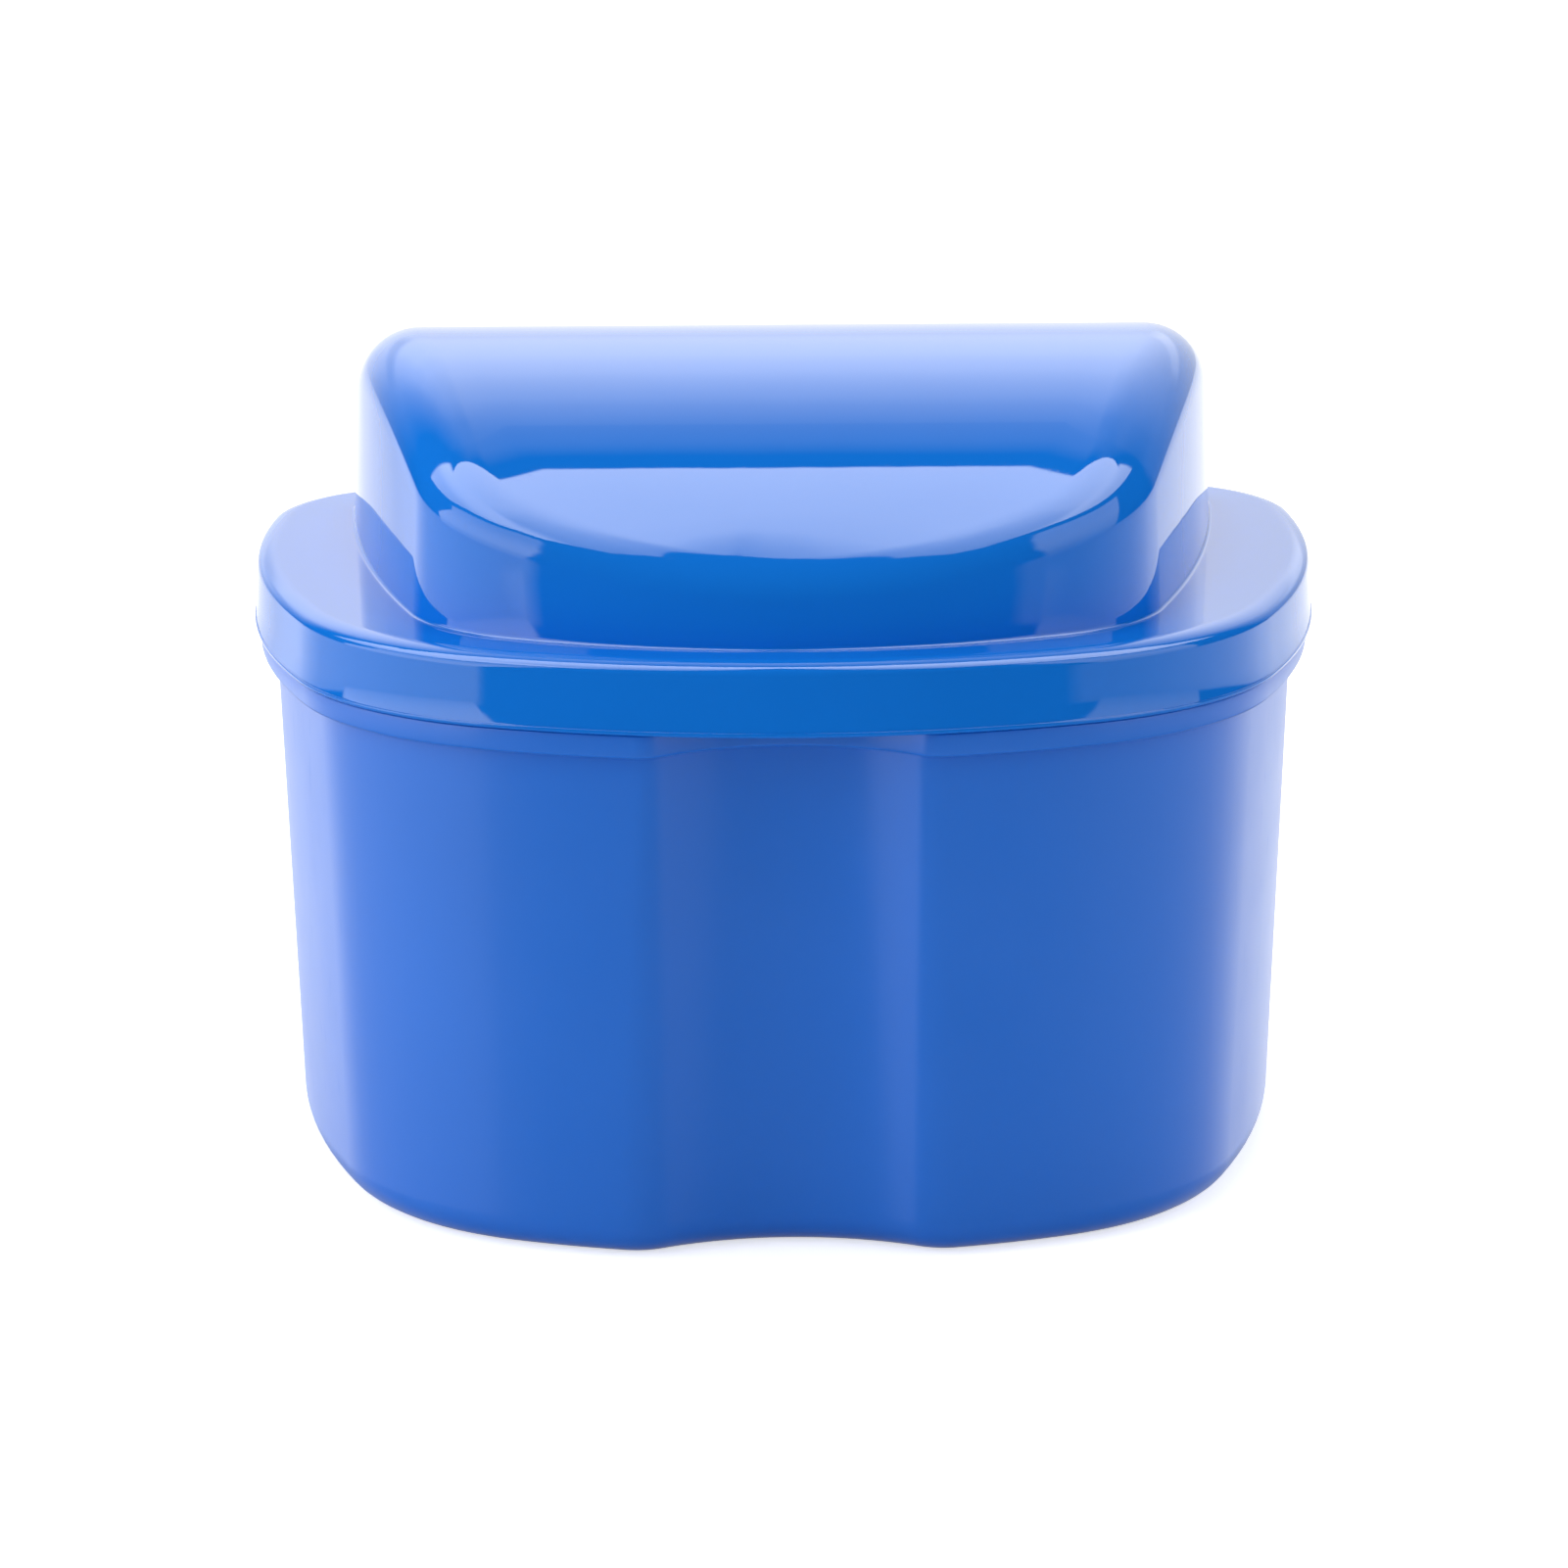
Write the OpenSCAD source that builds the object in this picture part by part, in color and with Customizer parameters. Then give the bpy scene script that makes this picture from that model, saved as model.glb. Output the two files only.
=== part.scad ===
// Denture soaking case: a tub with a thumb recess, a lift-off domed lid and a hanging strainer basket.
// The origin is at the middle of the footprint on the table. X is the width, the front faces -Y and Z is up.

/* [Plan] */
// Width of the lid across its skirt
lid_w = 95; // [85:0.5:110]
// Depth of the lid from front to back
lid_d = 76; // [70:0.5:84]
// Radius of the bowed front
front_r = 71.5; // [62:0.5:82]
// Half angle of the bowed front
front_turn = 20.6; // [19:0.2:22]
// Turn of the rounded front corners
cheek_turn = 48.4; // [46:0.2:51]
// Turn of the softly bowed sides
side_turn = 26.8; // [24:0.2:29]
// Radius of the two back corners
back_r = 14.4; // [11:0.2:18]

/* [Tub] */
// Height of the tub with its collar
tub_h = 49.1; // [44:0.1:58]
// Wall of the tub
tub_wall = 1.8; // [1.4:0.1:2.4]
// Floor of the tub
tub_floor = 2.2; // [1.8:0.1:3]
// How far the wall leans in from the rim to the foot
tub_lean = 1.5; // [0.8:0.1:2.5]
// Rounding between the wall and the base
foot_r = 3; // [2:0.2:5]
// Width of the flat ring that stands on the table
foot_ring = 3; // [2:0.2:4]
// Height of the hollow inside that ring
foot_hollow = 0.8; // [0.4:0.1:1.4]
// Height of the stop band round the rim
band_h = 2; // [1.6:0.1:3]
// How far the stop band stands out from the wall
band_out = 1.4; // [1:0.1:1.5]
// Height of the collar above the stop band
collar_h = 3; // [2.6:0.1:4]

/* [Thumb recess] */
// Width of the recess in the front wall, at the rim
recess_w = 25; // [22:0.5:28]
// Width of the recess at the foot
recess_foot_w = 29.4; // [26:0.2:31]
// Distance from the front of the lid to the bottom of the recess, at the rim
recess_back = 7; // [6.4:0.1:8]
// How far the bottom of the recess leans in from the rim to the foot
recess_lean = 0.8; // [0:0.1:1.2]
// Rounding of the recess edges at the rim
recess_edge_r = 3; // [2.8:0.1:4]
// Rounding of the recess edges at the foot, where the recess runs out softly
recess_foot_r = 6.8; // [5:0.2:8]

/* [Lid] */
// Wall of the lid
lid_wall = 1.5; // [1.3:0.1:2]
// Height of the skirt
skirt_h = 5.9; // [5:0.1:8]
// How far the skirt leans in to the top
skirt_lean = 0.3; // [0:0.1:0.6]
// Rounding of the lid's upper edge
lid_edge_r = 1.8; // [1.2:0.1:2.2]

/* [Dome] */
// Width of the dome at its foot
dome_w = 79; // [74:0.2:82]
// Flat border between the front of the lid and the dome
dome_front = 5.3; // [4.5:0.1:7]
// Flat border between the back of the lid and the dome
dome_back = 6; // [5:0.2:8]
// Height of the dome above the lid
dome_h = 20; // [18:0.2:24]
// Radius of the arched top, which runs across the width
arch_r = 53; // [50:1:60]
// Distance from the front of the lid to the crest of the arch
crest_y = 42; // [38:0.5:46]
// Rounding of the edge between the arch and the front wall
dome_front_edge_r = 4.6; // [3:0.1:5.4]
// Rounding of the edge between the arch and the side and back walls
dome_side_edge_r = 5.4; // [3.8:0.2:6]
// How far the dome's wall leans in to the top
dome_lean = 0.4; // [0:0.1:0.8]
// Radius of the dome's bowed front
dome_front_r = 56; // [50:1:64]
// Radius of the dome's back corners
dome_back_r = 6; // [5:0.2:8]
// Rounding where the dome meets the lid
dome_root_r = 0.3; // [0.2:0.1:0.8]

/* [Basket] */
// Wall of the basket
basket_wall = 1.3; // [1.1:0.1:1.8]
// Height of the basket's floor above the table
basket_z = 8; // [6:0.5:14]
// Rounding between the basket's wall and floor
basket_r = 4; // [3:0.2:6]
// Thickness of the rim that hangs on the collar
rim_t = 1.1; // [0.9:0.1:1.5]
// Width of a drain slot
slot_w = 3; // [2.4:0.2:3.6]
// Height of a drain slot
slot_h = 15; // [10:0.5:20]
// Height of the slots' middle above the table
slot_z = 26; // [22:0.5:32]
// Diameter of a drain hole in the floor
drain_d = 4; // [3:0.2:5]
// Distance between drain slots
slot_pitch = 7.5; // [6:0.1:10]
// Distance between drain holes
drain_pitch = 9; // [8:0.1:12]

/* [Handle] */
// Distance from the front of the lid to the handle's pivot
pivot_y = 42; // [38:0.5:46]
// Depth of the handle's pivot below the top of the tub
pivot_drop = 7.1; // [6:0.1:10]
// Distance from the pivot to the middle of the grip
handle_reach = 24; // [18:0.5:25]
// Distance between the middles of the two arms
arm_span = 63; // [56:0.5:64]
// Distance between the arms at the grip
grip_span = 44; // [34:1:50]
// Thickness of an arm across the width
arm_t = 2.4; // [2:0.1:3]
// Width of the straps that make the handle
strap_w = 3.6; // [3:0.2:4.4]
// Length of the arms' straight part from the pivot
arm_straight = 10; // [9:0.5:12]
// Diameter of the pivot pins
pin_d = 3; // [2.4:0.1:3.4]
// Length of a pivot pin outside its arm
pin_len = 4.4; // [3:0.2:5]

/* [Clearances] */
// Gap between the collar and the lid's skirt
lid_gap = 0.4; // [0.3:0.05:0.5]
// Height gap where one piece lies on another
seat_gap = 0.3; // [0.2:0.05:0.4]
// Gap between the tub's wall and the basket
basket_gap = 1.2; // [0.8:0.1:1.6]
// Radial gap of the pivot pins in their bores
pin_gap = 0.06; // [0.03:0.01:0.1]
// Side gap between an arm and its boss
side_gap = 0.4; // [0.3:0.1:0.6]

/* [Hidden] */
$fn = 48;
// Segments on the arcs of an outline: recess, its edge, front, cheek, side and back corner
recess_n = 5;
edge_n = 5;
front_n = 6;
cheek_n = 11;
side_n = 7;
back_n = 10;
// Segments on a rounding's quarter turn
round_n = 4;
eps = 0.01;

// Heights, from the table up
band_top = tub_h - collar_h;
band_bottom = band_top - band_h;
rim_z = tub_h + seat_gap;
rim_top = rim_z + rim_t;
lid_top = rim_top + seat_gap + lid_wall;
skirt_z = lid_top - skirt_h;

// Insets from the outline of the lid
collar_inset = lid_wall + lid_gap;
mid_y = lid_d / 2;

// The arch of the dome
crest_z = lid_top + dome_h;
arch_z = crest_z - arch_r;

// Dome plan: the walls are straighter and the corners tighter than the lid's
dome_front_turn = 24.5;
dome_cheek_turn = 48.5;
dome_side_turn = 14;
dome_d = lid_d - dome_front - dome_back;

// Angles of the wall's normal between which the rounding of the dome's edge grows, round the cheek
edge_grows_from = -62;
edge_grows_to = -12;

// Small chamfers, and the least rounding left inside the wall on the recess edges and the dome's edge
band_chamfer = 0.3;
rim_chamfer = 0.4;
least_edge_r = 0.8;
least_dome_edge_r = 0.4;

// Where the pins meet the bosses, and the ledges that the arms lie on
pivot_z = tub_h - pivot_drop;
arm_x = arm_span / 2;
boss_x = arm_x + arm_t / 2 + side_gap;
boss_wall = 2.2;
boss_r = pin_d / 2 + boss_wall;
hub_r = strap_w / 2 + 0.6;
ledge_t = 2;
ledge_w = 3.4;
ledge_mid = arm_straight - ledge_w / 2;

// Length of a slot's cutter, which leaves the leaning wall on both sides
slot_cut = 2 * (basket_wall + tub_lean + 1);

// Reach of the grid that the floor's drain holes are picked from
drain_across = floor(lid_w / 2 / drain_pitch);
drain_rows = floor(lid_d / drain_pitch);

// Radii of the cheek and the side that give an outline its half width w and depth d
function cheek_and_side(w, d, rf, rb, t1, t2, t3) =
    let (s1 = sin(t1), s2 = sin(t1 + t2), c1 = cos(t1), c2 = cos(t1 + t2), c3 = cos(t1 + t2 + t3),
         p = w - rf * s1,
         q = d - rf * (1 - c1) - rb * (1 + c3),
         a = s2 - s1, b = 1 - s2, c = c1 - c2, e = c2 - c3,
         det = a * e - b * c)
    [(p * e - b * q) / det, (a * q - p * c) / det];

lid_radii = cheek_and_side(lid_w / 2, lid_d, front_r, back_r, front_turn, cheek_turn, side_turn);
dome_radii = cheek_and_side(dome_w / 2, dome_d, dome_front_r, dome_back_r,
                            dome_front_turn, dome_cheek_turn, dome_side_turn);

// Points [x, y, angle of the normal] along a chain of arcs, each [radius, turn, segments]
function walk(chain, p, a, i = 0) =
    i == len(chain) ? [] :
    let (r = chain[i][0], turn = chain[i][1], n = chain[i][2],
         c = p - r * [cos(a), sin(a)],
         arc = [for (j = [1:n]) let (b = a + turn * j / n) [c.x + r * cos(b), c.y + r * sin(b), b]],
         last = arc[n - 1])
    concat(arc, walk(chain, [last.x, last.y], last[2], i + 1));

function half(chain, y) = concat([[0, y, -90]], walk(chain, [0, y], -90));

// The right half of the lid's outline, drawn in by an inset
function lid_half(inset) =
    half([[front_r - inset, front_turn, front_n],
          [lid_radii[0] - inset, cheek_turn, cheek_n],
          [lid_radii[1] - inset, side_turn, side_n],
          [back_r - inset, 180 - front_turn - cheek_turn - side_turn, back_n]], inset);

// The right half of the dome's outline
function dome_half(inset) =
    half([[dome_front_r - inset, dome_front_turn, front_n],
          [dome_radii[0] - inset, dome_cheek_turn, cheek_n],
          [dome_radii[1] - inset, dome_side_turn, side_n],
          [dome_back_r - inset, 180 - dome_front_turn - dome_cheek_turn - dome_side_turn, back_n]],
         dome_front + inset);

// The right half of the tub's outline, with a thumb recess of width w and bottom y
function tub_half(inset, w, y, edge_r) =
    let (r = front_r - inset,
         half_turn = asin(w / 2 / (front_r - collar_inset)),
         edge = [(r - edge_r) * sin(half_turn), inset + r - (r - edge_r) * cos(half_turn)],
         gap = edge.y - y,
         hollow_r = (edge.x * edge.x + gap * gap - edge_r * edge_r) / (2 * (edge_r - gap)),
         dip = asin(edge.x / (edge_r + hollow_r)))
    half([[-hollow_r, -dip, recess_n],
          [edge_r, dip + half_turn, edge_n],
          [r, front_turn - half_turn, front_n],
          [lid_radii[0] - inset, cheek_turn, cheek_n],
          [lid_radii[1] - inset, side_turn, side_n],
          [back_r - inset, 180 - front_turn - cheek_turn - side_turn, back_n]], y);

// A closed ring from its right half, moved so that the middle of the lid is the origin
function ring(pts) =
    concat([for (p = pts) [p.x, p.y - mid_y, p.z]],
           [for (i = [len(pts) - 1:-1:1]) [-pts[i].x, pts[i].y - mid_y, pts[i].z]]);
function level(outline, z) = ring([for (p = outline) [p.x, p.y, z]]);

// A ring of the tub at a distance outside its wall's outer face. The wall leans in below the band,
// and the recess grows wider, deeper and softer towards the foot
function tub_ring(out, z) =
    let (down = max(0, 1 - z / band_bottom),
         w = recess_w + (recess_foot_w - recess_w) * down,
         soft = recess_edge_r + (recess_foot_r - recess_edge_r) * down)
    level(tub_half(collar_inset - out + tub_lean * down, w, recess_back - out + recess_lean * down,
                   max(least_edge_r, soft + min(0, out))), z);

// Rounding of the dome's edge where the wall's normal points to an angle
function edge_r(angle) =
    let (t = min(1, max(0, (angle - edge_grows_from) / (edge_grows_to - edge_grows_from))))
    dome_front_edge_r + (dome_side_edge_r - dome_front_edge_r) * t * t * (3 - 2 * t);

// A ring on the rounded edge between the dome's wall and its arch, at a depth inside the outer faces:
// a ball rolls along both, and t runs from 0 on the wall to 1 on the arch
function edge_ring(depth, t) =
    ring([for (p = dome_half(dome_lean + depth))
        let (r = max(least_dome_edge_r, edge_r(p[2]) - depth),
             wall = [cos(p[2]), sin(p[2]), 0],
             cx = p.x - r * wall.x,
             cy = p.y - r * wall.y,
             cz = arch_z + sqrt(pow(arch_r - depth - r, 2) - pow(cy - crest_y, 2)),
             up = [0, cy - crest_y, cz - arch_z] / (arch_r - depth - r),
             whole = acos(wall * up),
             dir = (sin((1 - t) * whole) * wall + sin(t * whole) * up) / sin(whole))
        [cx, cy, cz] + r * dir]);

// A solid through a list of rings. The end caps are flat, or strips across the width for an arch
module skin(rings, arched = false) {
    n = len(rings[0]);
    last = (len(rings) - 1) * n;
    sides = [for (k = [0:len(rings) - 2], i = [0:n - 1])
        let (a = k * n + i, b = k * n + (i + 1) % n, c = b + n, d = a + n)
        each [[a, d, c], [a, c, b]]];
    across = concat([[0, 1, n - 1]], [for (i = [1:(n - 3) / 2]) [i, i + 1, n - i - 1, n - i]]);
    flat = [[for (i = [0:n - 1]) i]];
    first_cap = arched ? across : flat;
    last_cap = [for (f = first_cap) [for (i = [len(f) - 1:-1:0]) last + f[i]]];
    polyhedron([for (r = rings) each r], concat(sides, first_cap, last_cap), convexity = 8);
}

// Steps of a quarter turn from 0 to 90 degrees
function quarter() = [for (i = [0:round_n]) 90 * i / round_n];

module tub() {
    inner_r = foot_r - tub_wall;
    color("royalblue") skin(concat(
        [tub_ring(-foot_r - foot_ring - foot_hollow, foot_hollow),
         tub_ring(-foot_r - foot_ring, 0)],
        [for (a = quarter()) tub_ring(-foot_r * (1 - sin(a)), foot_r * (1 - cos(a)))],
        [tub_ring(0, band_bottom),
         tub_ring(band_out - band_chamfer, band_bottom),
         tub_ring(band_out, band_bottom + band_chamfer),
         tub_ring(band_out, band_top - band_chamfer),
         tub_ring(band_out - band_chamfer, band_top),
         tub_ring(0, band_top),
         tub_ring(0, tub_h - rim_chamfer),
         tub_ring(-rim_chamfer, tub_h),
         tub_ring(-tub_wall, tub_h)],
        [for (a = quarter()) tub_ring(-tub_wall - inner_r * (1 - cos(a)), tub_floor + inner_r * (1 - sin(a)))]
    ));
}

module lid() {
    color("dodgerblue") skin(concat(
        [for (i = [round_n:-1:0]) edge_ring(lid_wall, i / round_n)],
        [level(dome_half(lid_wall), lid_top - lid_wall),
         level(lid_half(lid_wall + skirt_lean), lid_top - lid_wall),
         level(lid_half(lid_wall), skirt_z),
         level(lid_half(0), skirt_z)],
        [for (a = quarter())
            level(lid_half(skirt_lean + lid_edge_r * (1 - cos(a))), lid_top - lid_edge_r * (1 - sin(a)))],
        [for (a = quarter())
            level(dome_half(-dome_root_r * (1 - sin(a))), lid_top + dome_root_r * (1 - cos(a)))],
        [for (i = [0:round_n]) edge_ring(0, i / round_n)]
    ), arched = true);
}

// A ring of the basket at a distance inside its wall's outer face
function basket_ring(in, z) = tub_ring(-tub_wall - basket_gap - in, z);

// The outer face of the basket's wall at its rim, as the right half of an outline
function basket_half() =
    let (in = tub_wall + basket_gap)
    tub_half(collar_inset + in, recess_w, recess_back + in, least_edge_r);

// Points [x, y, angle] spread evenly along an outline from its point number first on, at about a pitch
function spread(h, first, pitch) =
    let (runs = [for (i = first, s = 0; i < len(h);
                      s = s + (i + 1 < len(h) ? norm([h[i + 1].x - h[i].x, h[i + 1].y - h[i].y]) : 0),
                      i = i + 1) s],
         whole = runs[len(runs) - 1],
         count = floor(whole / pitch))
    [for (j = [0:count - 1])
        let (s = (j + 0.5) * whole / count,
             k = len([for (r = runs) if (r <= s) r]) - 1,
             t = (s - runs[k]) / (runs[k + 1] - runs[k]))
        (1 - t) * h[first + k] + t * h[first + k + 1]];

// Whether a drain hole's centre lies inside the floor with room for the rounded edge
function on_floor(h, x, y) =
    let (room = basket_r + tub_lean + drain_d / 2,
         outside = [for (i = [recess_n + edge_n:len(h) - 1])
             if (([abs(x), y] - [h[i].x, h[i].y]) * [cos(h[i][2]), sin(h[i][2])] > -room) 1])
    len(outside) == 0 && (y > h[0].y + room || abs(x) > recess_foot_w / 2 + room);

// The cutter of an upright slot with round ends, square to a wall that faces X
module slot() {
    cube([slot_cut, slot_w, slot_h - slot_w], center = true);
    for (s = [-1, 1])
        translate([0, 0, s * (slot_h - slot_w) / 2]) rotate([0, 90, 0])
            cylinder(h = slot_cut, d = slot_w, center = true);
}

module basket_shell() {
    inner_r = basket_r - basket_wall;
    skin(concat(
        [for (a = quarter()) basket_ring(basket_r * (1 - sin(a)), basket_z + basket_r * (1 - cos(a)))],
        [basket_ring(0, band_bottom),
         basket_ring(0, rim_z),
         tub_ring(-rim_chamfer, rim_z),
         tub_ring(-rim_chamfer, rim_top),
         basket_ring(basket_wall, rim_top),
         basket_ring(basket_wall, band_bottom)],
        [for (a = quarter())
            basket_ring(basket_wall + inner_r * (1 - cos(a)), basket_z + basket_wall + inner_r * (1 - sin(a)))]
    ));
}

// The space inside the middle of the basket's wall, which ends the ears
module basket_core() {
    mid = basket_wall / 2;
    skin([basket_ring(mid, basket_z), basket_ring(mid, band_bottom), basket_ring(mid, rim_z)]);
}

// The boss for a pin and the two ledges that the arm lies on when it is folded down
module ear() {
    far = lid_w / 2;
    translate([0, pivot_y - mid_y, pivot_z]) {
        translate([boss_x, 0, 0]) rotate([0, 90, 0]) cylinder(h = far - boss_x, r = boss_r);
        for (s = [-1, 1])
            translate([arm_x - arm_t / 2, s * ledge_mid - ledge_w / 2, -strap_w / 2 - seat_gap - ledge_t])
                cube([far - arm_x + arm_t / 2, ledge_w, ledge_t]);
    }
}

module basket() {
    h = basket_half();
    back = [0, h[len(h) - 1].y, 90];
    places = spread(concat(h, [back]), recess_n + edge_n, slot_pitch);
    color("whitesmoke") difference() {
        union() {
            basket_shell();
            intersection() {
                for (s = [0, 1]) mirror([s, 0, 0]) ear();
                basket_core();
            }
        }
        for (s = [0, 1]) mirror([s, 0, 0]) {
            translate([boss_x - eps, pivot_y - mid_y, pivot_z]) rotate([0, 90, 0])
                cylinder(h = pin_len, d = pin_d + 2 * pin_gap);
            for (p = places)
                translate([p.x, p.y - mid_y, slot_z]) rotate([0, 0, p[2]]) slot();
        }
        for (i = [-drain_across:drain_across], j = [0:drain_rows])
            if (on_floor(h, i * drain_pitch, basket_r + j * drain_pitch))
                translate([i * drain_pitch, basket_r + j * drain_pitch - mid_y, basket_z - eps])
                    cylinder(h = basket_wall + 2 * eps, d = drain_d, $fn = 24);
    }
}

// A flat strap from one point [x, z] to another, with a round end
module strap(from, to) {
    run = to - from;
    translate([from.x, 0, from.y]) rotate([0, -atan2(run.y, run.x), 0])
        translate([0, -strap_w / 2, -arm_t / 2]) cube([norm(run), strap_w, arm_t]);
    translate([to.x, 0, to.y]) rotate([90, 0, 0])
        cylinder(h = strap_w, d = arm_t, center = true);
}

// The handle standing upright on its pivot
module handle_upright() {
    elbow = [arm_x, arm_straight];
    corner = [grip_span / 2, handle_reach];
    for (s = [0, 1]) mirror([s, 0, 0]) {
        translate([arm_x - arm_t / 2, 0, 0]) rotate([0, 90, 0]) cylinder(h = arm_t, r = hub_r);
        translate([arm_x, 0, 0]) rotate([0, 90, 0]) cylinder(h = arm_t / 2 + pin_len, d = pin_d);
        strap([arm_x, 0], elbow);
        strap(elbow, corner);
        strap([0, handle_reach], corner);
    }
}

// The handle folded down to the front
module handle() {
    color("whitesmoke")
        translate([0, pivot_y - mid_y, pivot_z]) rotate([90, 0, 0]) handle_upright();
}

tub();
lid();
basket();
handle();
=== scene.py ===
# %% [markdown]
# # A denture soaking case
#
# A deep tub holds the cleaning solution, a strainer basket hangs in it, and a lid with a tall
# arched dome closes it. The CAD model gives every piece its real size and place. This lesson
# rebuilds the pieces as smooth meshes over it, because glossy plastic shows every facet, and
# then gives them their plastics, the light and the camera.

import math

import bmesh
import bpy
from mathutils import Matrix, Vector


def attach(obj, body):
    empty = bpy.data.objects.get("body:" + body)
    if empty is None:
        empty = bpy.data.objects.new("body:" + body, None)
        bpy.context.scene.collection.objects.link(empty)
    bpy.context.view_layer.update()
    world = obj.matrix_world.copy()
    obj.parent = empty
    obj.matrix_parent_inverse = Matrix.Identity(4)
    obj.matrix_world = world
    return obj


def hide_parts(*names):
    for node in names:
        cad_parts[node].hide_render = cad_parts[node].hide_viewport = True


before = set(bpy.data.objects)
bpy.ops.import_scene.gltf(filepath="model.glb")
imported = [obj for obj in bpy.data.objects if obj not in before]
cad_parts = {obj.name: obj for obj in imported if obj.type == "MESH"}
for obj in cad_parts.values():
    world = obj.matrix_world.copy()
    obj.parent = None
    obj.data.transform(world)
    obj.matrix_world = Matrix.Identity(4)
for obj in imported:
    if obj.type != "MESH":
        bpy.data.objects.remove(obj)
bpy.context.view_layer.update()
print("CAD nodes:", sorted(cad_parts))

# %% [markdown]
# ## The plans
#
# Every outline of the case is a chain of arcs that run smoothly into each other: a wide bow in
# front, a rounded cheek, a softly bowed side and a back corner. A mould maker draws it in the
# same way. Such a chain has a useful property: moved inwards by a fixed distance, it is the same
# chain with smaller radii, so one description gives the outer wall, the inner wall and every
# rounding between them. All measures are in millimetres, and y counts from the front of the lid.

# %% Measures and arcs
MM = 0.001
LID_WIDTH, LID_DEPTH = 94.9, 76.0
MIDDLE_Y = LID_DEPTH / 2
CREST_Y = 42.0
BACK_CUTS = 6


def cheek_and_side(width, depth, front_r, back_r, front_turn, cheek_turn, side_turn):
    """The radii of the cheek and the side that give an outline its half width and its depth."""
    angles = [math.radians(a) for a in (front_turn, front_turn + cheek_turn, front_turn + cheek_turn + side_turn)]
    s1, s2 = math.sin(angles[0]), math.sin(angles[1])
    c1, c2, c3 = (math.cos(a) for a in angles)
    p = width - front_r * s1
    q = depth - front_r * (1 - c1) - back_r * (1 + c3)
    a, b, c, e = s2 - s1, 1 - s2, c1 - c2, c2 - c3
    det = a * e - b * c
    return (p * e - b * q) / det, (a * q - p * c) / det


def arc_plan(width, depth, front_r, back_r, turns, steps):
    """Arcs [radius, turn, steps] of a plan, from the middle of the front to the back corner."""
    cheek, side = cheek_and_side(width / 2, depth, front_r, back_r, *turns)
    last = 180 - sum(turns)
    return [list(arc) for arc in zip((front_r, cheek, side, back_r), (*turns, last), steps)]


PLAN_STEPS = (18, 32, 16, 24)
LID_PLAN = arc_plan(LID_WIDTH, LID_DEPTH, front_r=71.5, back_r=14.4, turns=(20.6, 48.4, 26.8), steps=PLAN_STEPS)
DOME_WIDTH, DOME_FRONT, DOME_BACK = 79.0, 5.3, 6.0
DOME_PLAN = arc_plan(DOME_WIDTH, LID_DEPTH - DOME_FRONT - DOME_BACK, front_r=56.0, back_r=6.0,
                     turns=(24.5, 48.5, 14.0), steps=PLAN_STEPS)
print("cheek and side radii:", [round(arc[0], 1) for arc in LID_PLAN[1:3]])

# %% [markdown]
# ## From arcs to rings
#
# `half_outline` walks along the arcs and notes each point with the angle of its normal. `ring`
# mirrors that half and lifts it to its height, so both sides of the case are exactly alike.

# %% Outlines and rings
def half_outline(arcs, y):
    """Points (x, y, angle of the normal) from the middle of the front to the middle of the back."""
    x, angle = 0.0, -90.0
    points = [(x, y, angle)]
    for radius, turn, steps in arcs:
        a = math.radians(angle)
        centre = (x - radius * math.cos(a), y - radius * math.sin(a))
        for step in range(1, steps + 1):
            b = math.radians(angle + turn * step / steps)
            points.append((centre[0] + radius * math.cos(b), centre[1] + radius * math.sin(b), math.degrees(b)))
        x, y, angle = points[-1]
    points += [(x * (1 - cut / BACK_CUTS), y, 90.0) for cut in range(1, BACK_CUTS + 1)]
    return points


def inset_plan(plan, inset, start=0.0):
    """The half outline of a plan, moved inwards by the inset."""
    return half_outline([(radius - inset, turn, steps) for radius, turn, steps in plan], start + inset)


def ring(points):
    """A closed ring in metres from points (x, y, z) of the right half, in millimetres."""
    right = [Vector((x, y - MIDDLE_Y, z)) * MM for x, y, z in points]
    left = [Vector((-p.x, p.y, p.z)) for p in right[-2:0:-1]]
    return right + left


def level(outline, z):
    """A flat ring at one height."""
    return ring([(x, y, z) for x, y, _ in outline])


def lid_ring(inset, z):
    return level(inset_plan(LID_PLAN, inset), z)


def dome_ring(inset, z):
    return level(inset_plan(DOME_PLAN, inset, DOME_FRONT), z)


print("points in a lid ring:", len(lid_ring(0, 0)))

# %% [markdown]
# ## Growing a shell
#
# A shell is grown as by hand: a circle is added, its points are laid on the first ring, and its
# edge is extruded from ring to ring. The ends are closed flat, or with strips straight across
# the width where the case is arched, because an arch is straight in that direction.

# %% The growing tool
SHARP = math.radians(32)


def new_object(name):
    """Names the object that an operator has just made."""
    piece = bpy.context.object
    piece.name = piece.data.name = name
    return piece


def lay_on(edit, old, new):
    """Moves the selected points from their places on the old ring to the same places on the new one."""
    number = {tuple(place): i for i, place in enumerate(old)}
    for point in edit.verts:
        if point.select:
            point.co = new[number[tuple(point.co)]]


def close_end(edit, places, arched):
    """Closes a ring with one flat face, or with strips from each point to its mirror image."""
    at = {tuple(point.co): point for point in edit.verts}
    ring_points = [at[tuple(place)] for place in places]
    count = len(ring_points)
    if not arched:
        edit.faces.new(ring_points)
        return
    edge = count // 2 - BACK_CUTS
    edit.faces.new([ring_points[i] for i in (0, 1, count - 1)])
    for i in range(1, edge):
        edit.faces.new([ring_points[k] for k in (i, i + 1, count - i - 1, count - i)])
    edit.faces.new(ring_points[edge:count - edge + 1])


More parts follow.
